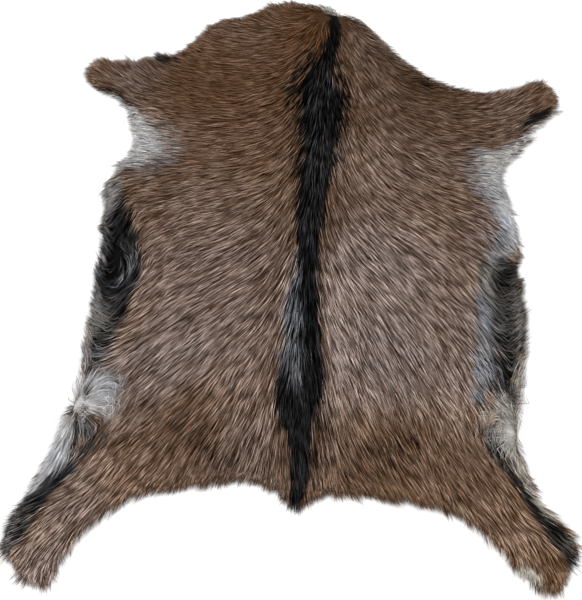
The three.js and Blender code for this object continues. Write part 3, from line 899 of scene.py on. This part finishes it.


# Length and lift are times the usual, and width is in metres. Bend is the share of a lock's length
# where it is widest and turns. Stray and curl are in degrees. Pull leans the ends of a tuft
# together, outward turns hair near the edge outwards, and shown is the share of the colours from
# root to end that a lock shows; below 1 it keeps a lock to the darker root colours, painted shade.
def comb(
    name, roots, seed, bend, length, lift, width, stray, curl, pull, outward, shown=1.0,
):
    """Grows a lock of hair at each root, combs it with the lay, and joins all into one piece."""
    dice = np.random.default_rng(seed)
    count = len(roots)
    stops = (0, bend, 1) if bend else (0, 1)

    # Hairs of one tuft share its length, and all that grow near each other turn and wave alike
    cell = np.floor((roots - chart_low) / TUFT_PITCH).astype(int)
    tufts = tuft_table[cell[:, 0], cell[:, 1]]
    tuft_middle = chart_low + (cell + 0.15 + 0.7 * tufts[:, :2]) * TUFT_PITCH
    luck = dice.uniform(0, 1, (count, 2))
    along, usual_length, usual_height = np.array(GROWTH).T
    long = np.interp(roots[:, 1] / MM, along, usual_length) * MM
    long = long * length * (0.82 + 0.36 * tufts[:, 2]) * (0.8 + 0.4 * luck[:, 0])
    high = np.interp(roots[:, 1] / MM, along, usual_height) * MM
    high = high * lift * (0.9 + 0.2 * tufts[:, 3]) * (0.45 + 0.65 * luck[:, 0])
    on_leg = smooth(*LEG_ACROSS, np.abs(roots[:, 0]))
    on_leg *= smooth(*LEG_ALONG, np.abs(roots[:, 1] - LEG_MIDDLE))
    high = high * (1 - LEG_LOWERS * on_leg) * (1 + 0.25 * soft_scatter(roots, 36 * MM, 21))
    wide = width * (0.65 + 0.8 * dice.uniform(0, 1, count) ** 1.5)
    turn = dice.normal(0, stray, count) + 4 * soft_scatter(roots, 13 * MM, 22)
    turn += 4 * soft_scatter(roots, 30 * MM, 23)
    wave = curl * (soft_scatter(roots, 24 * MM, 24) + dice.normal(0, 0.2, count))

    # The lock is laid down in one or two stretches, each with the lay of the hair where it starts
    near_edge = (1 - smooth(0, EDGE_TURN_WIDTH, inside_chart.at(roots)))[:, None]
    edge_pull = outward * near_edge * outward_chart.at(roots)

    def laid(long):
        path, ways = [roots], []
        for start, end in zip(stops, stops[1:]):
            lay = lay_chart.at(path[-1]) + edge_pull
            swing = np.radians(turn + wave * math.cos(math.pi * 0.75 * (start + end)))
            way = np.stack([
                lay[:, 0] * np.cos(swing) - lay[:, 1] * np.sin(swing),
                lay[:, 0] * np.sin(swing) + lay[:, 1] * np.cos(swing),
            ], axis=1)
            ways.append(way / np.linalg.norm(way, axis=1, keepdims=True))
            path.append(path[-1] + ways[-1] * ((end - start) * long)[:, None])
        return path, ways

    # Locks that would run too far past the edge are shorter
    path, ways = laid(long)
    beyond = np.maximum(0, -inside_chart.at(path[-1]))
    allowed = reach_chart.at(roots) * (0.35 + 1.05 * tufts[:, 2]) * dice.uniform(0.4, 1.25, count)
    covered = np.maximum(0, inside_chart.at(roots)) + allowed
    long = long * np.where(beyond > allowed, covered / (covered + beyond - allowed + 1e-9), 1.0)
    path, ways = laid(long)

    # The ends of a tuft lean together, and the lock rises, bends over and droops past the edge
    aside = np.stack([-ways[-1][:, 1], ways[-1][:, 0]], axis=1)
    lean = ((tuft_middle - roots) * aside).sum(axis=1)[:, None] * aside * (pull + 0.3 * near_edge)
    ground = skin_top(roots)
    droop = dice.uniform(0.8, 1.1, count)
    stations = []
    for stop, places in zip(stops, path):
        places = places + lean * stop ** 1.3
        rise = math.sin(min(stop * 1.35, 1) * math.pi / 2) * (1 - stop + stop * droop)
        past = smooth(0, EDGE_DROOP_WIDTH, -inside_chart.at(places))
        height = (ground + high * rise) * (1 - 0.82 * past) + LOCK_CLEARANCE
        if stop == 0:
            height = ground + ROOT_CLEARANCE
        stations.append(np.column_stack([places, height]))
    stations = np.stack(stations, axis=1)

    # The corners of a straight lock move to its stations, square to the way that the hair runs
    ways = np.stack([ways[0], *[a + b for a, b in zip(ways, ways[1:])], ways[-1]], axis=1)
    ways /= np.linalg.norm(ways, axis=2, keepdims=True)
    sides = np.stack([ways[:, :, 1], -ways[:, :, 0]], axis=2)
    corners, faces = lock_shape(bend)
    station = np.searchsorted(stops, corners[:, 2] - 0.01)
    solid = stations[:, station]
    solid[:, :, :2] += sides[:, station] * (0.5 * wide[:, None] * corners[:, 0])[:, :, None]
    solid[:, :, 2] += 0.4 * wide[:, None] * corners[:, 1]
    piece = join_locks(name, solid, faces)

    # A lock takes the markings of the place that it covers, not of the place where it grows
    each = len(corners)
    lying = 0.6 * path[-1] + 0.4 * roots + 4 * MM * (2 * tufts[:, :2] - 1)
    lying += dice.normal(0, 2 * MM, (count, 2))
    mark(piece, np.repeat(lying, each, axis=0))
    # A lock's brightness rises with luck[:, 0], which also lifts it higher: random tone plus painted
    # light on the top locks and painted shade on the lower ones
    for layer_name, values in (
        ("along", shown * np.tile(corners[:, 2], count)),
        ("silvering", np.repeat(luck[:, 0], each)),
        ("tone_and_painted_light", np.repeat(luck @ (0.4, 0.5) + 0.1 * tufts[:, 3], each)),
    ):
        layer = piece.data.attributes.new(layer_name, "FLOAT", "POINT")
        layer.data.foreach_set("value", values.astype(np.float32))
    lay_flat(piece.data, cell, corners, faces)
    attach(piece, "root")
    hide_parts("goatskin")
    return piece


def hair_finish():
    """Goat hair: it glints a little along its length, and is coloured from root to end."""
    finish = Finish("goat hair")
    colour = coat_colours(finish, *map(finish.attribute, ("along", "silvering", "tone_and_painted_light")))
    finish.set(finish.shader, {
        "Base Color": colour, "Roughness": 0.4, "Specular IOR Level": 0.06})
    return finish.material


hair = hair_finish()


def grow(name, roots, seed, **growth):
    """Combs a piece of hair and gives it the hair's finish."""
    piece = comb(name, roots, seed, **growth)
    piece.data.materials.append(hair)
    return piece


down_roots = hair_roots(DOWN_PITCH, 1)
down_offset = down_roots[:, 0] - spine_x(down_roots[:, 1])
# A shown of 0.4 keeps the down to the dark root colours: painted shade between the locks
down = {
    "length": 0.8, "lift": 0.55, "width": DOWN_WIDTH, "bend": 0, "stray": 9, "curl": 0,
    "pull": 0.3, "outward": 0.4, "shown": 0.4,
}
down_pieces = [
    grow("left_down", down_roots[down_offset < 0], 2, **down),
    grow("right_down", down_roots[down_offset >= 0], 3, **down),
]


# The guard hair is the long outer hair. It grows in fine locks, each a few hairs that cling
# together, which rise from the skin, bend over and lie down in waves, one row over the next.
GUARD_PITCH = 2.28 * MM
GUARD_WIDTH = 0.95 * MM
BACK_HALF_WIDTH = 55 * MM
SIDE_HALF_WIDTH = 190 * MM

guard_roots = hair_roots(GUARD_PITCH, 10)
guard_offset = guard_roots[:, 0] - spine_x(guard_roots[:, 1])
guard = {
    "lift": 1.0, "width": GUARD_WIDTH, "bend": 0.62, "stray": 3, "curl": 12, "pull": 0.08,
    "outward": 0.4,
}
guard_pieces = [
    grow(
        "back_guard_hair", guard_roots[np.abs(guard_offset) < BACK_HALF_WIDTH],
        11, length=1.4, **guard,
    ),
    grow(
        "left_side_guard_hair",
        guard_roots[(guard_offset <= -BACK_HALF_WIDTH) & (guard_offset > -SIDE_HALF_WIDTH)],
        12, length=1.3, **guard,
    ),
    grow(
        "right_side_guard_hair",
        guard_roots[(guard_offset >= BACK_HALF_WIDTH) & (guard_offset < SIDE_HALF_WIDTH)],
        13, length=1.3, **guard,
    ),
    grow(
        "left_flank_guard_hair", guard_roots[guard_offset <= -SIDE_HALF_WIDTH],
        14, length=1.1, **guard,
    ),
    grow(
        "right_flank_guard_hair", guard_roots[guard_offset >= SIDE_HALF_WIDTH],
        15, length=1.1, **guard,
    ),
]


# Fine single hairs along the whole cut edge stray out past the locks and soften the outline. They
# grow in a narrow band inside the edge, lie lower than the guard hair, and turn outwards.
WISP_PITCH = 2.6 * MM
WISP_BAND = 12 * MM
WISP_WIDTH = 0.8 * MM

wisp_roots = hair_roots(WISP_PITCH, 20)
wisp_roots = wisp_roots[inside_chart.at(wisp_roots) < WISP_BAND]
edge_wisps = grow(
    "edge_wisps", wisp_roots, 21, length=0.8, lift=0.7, width=WISP_WIDTH, bend=0.5,
    stray=14, curl=10, pull=0.1, outward=1.1,
)

tuple((edge_line.max(axis=0) - edge_line.min(axis=0)).tolist())


# A plain pale floor and soft studio light: a wide lamp overhead to the left, a weaker one from
# the right, and an even pale surround.
FLOOR_SIZE = 8.0
FLOOR_GREY = 0.86
SURROUND_STRENGTH = 0.75

floor_mesh = bmesh.new()
bmesh.ops.create_grid(floor_mesh, x_segments=1, y_segments=1, size=FLOOR_SIZE / 2)
floor = put_shape("floor", floor_mesh)
floor_finish = Finish("pale floor")
floor_colour = (FLOOR_GREY, FLOOR_GREY, FLOOR_GREY, 1)
floor_finish.set(floor_finish.shader, {"Base Color": floor_colour, "Roughness": 0.9})
floor.data.materials.append(floor_finish.material)

surround = bpy.data.worlds.new("surround")
surround.use_nodes = True
surround_light = surround.node_tree.nodes["Background"]
surround_light.inputs["Color"].default_value = (1, 1, 1, 1)
surround_light.inputs["Strength"].default_value = SURROUND_STRENGTH
bpy.context.scene.view_settings.view_transform = "Standard"
bpy.context.scene.world = surround


def lamp(name, place, power, size):
    """A soft square lamp that faces the middle of the skin."""
    light = bpy.data.objects.new(name, bpy.data.lights.new(name, "AREA"))
    light.data.energy = power
    light.data.size = size
    light.location = place
    light.rotation_euler = (-Vector(place)).to_track_quat("-Z", "Y").to_euler()
    bpy.context.scene.collection.objects.link(light)


lamp("main_lamp", (-1.3, 1.2, 2.6), power=60, size=1.2)
lamp("fill_lamp", (1.8, -0.6, 2.2), power=20, size=1.6)
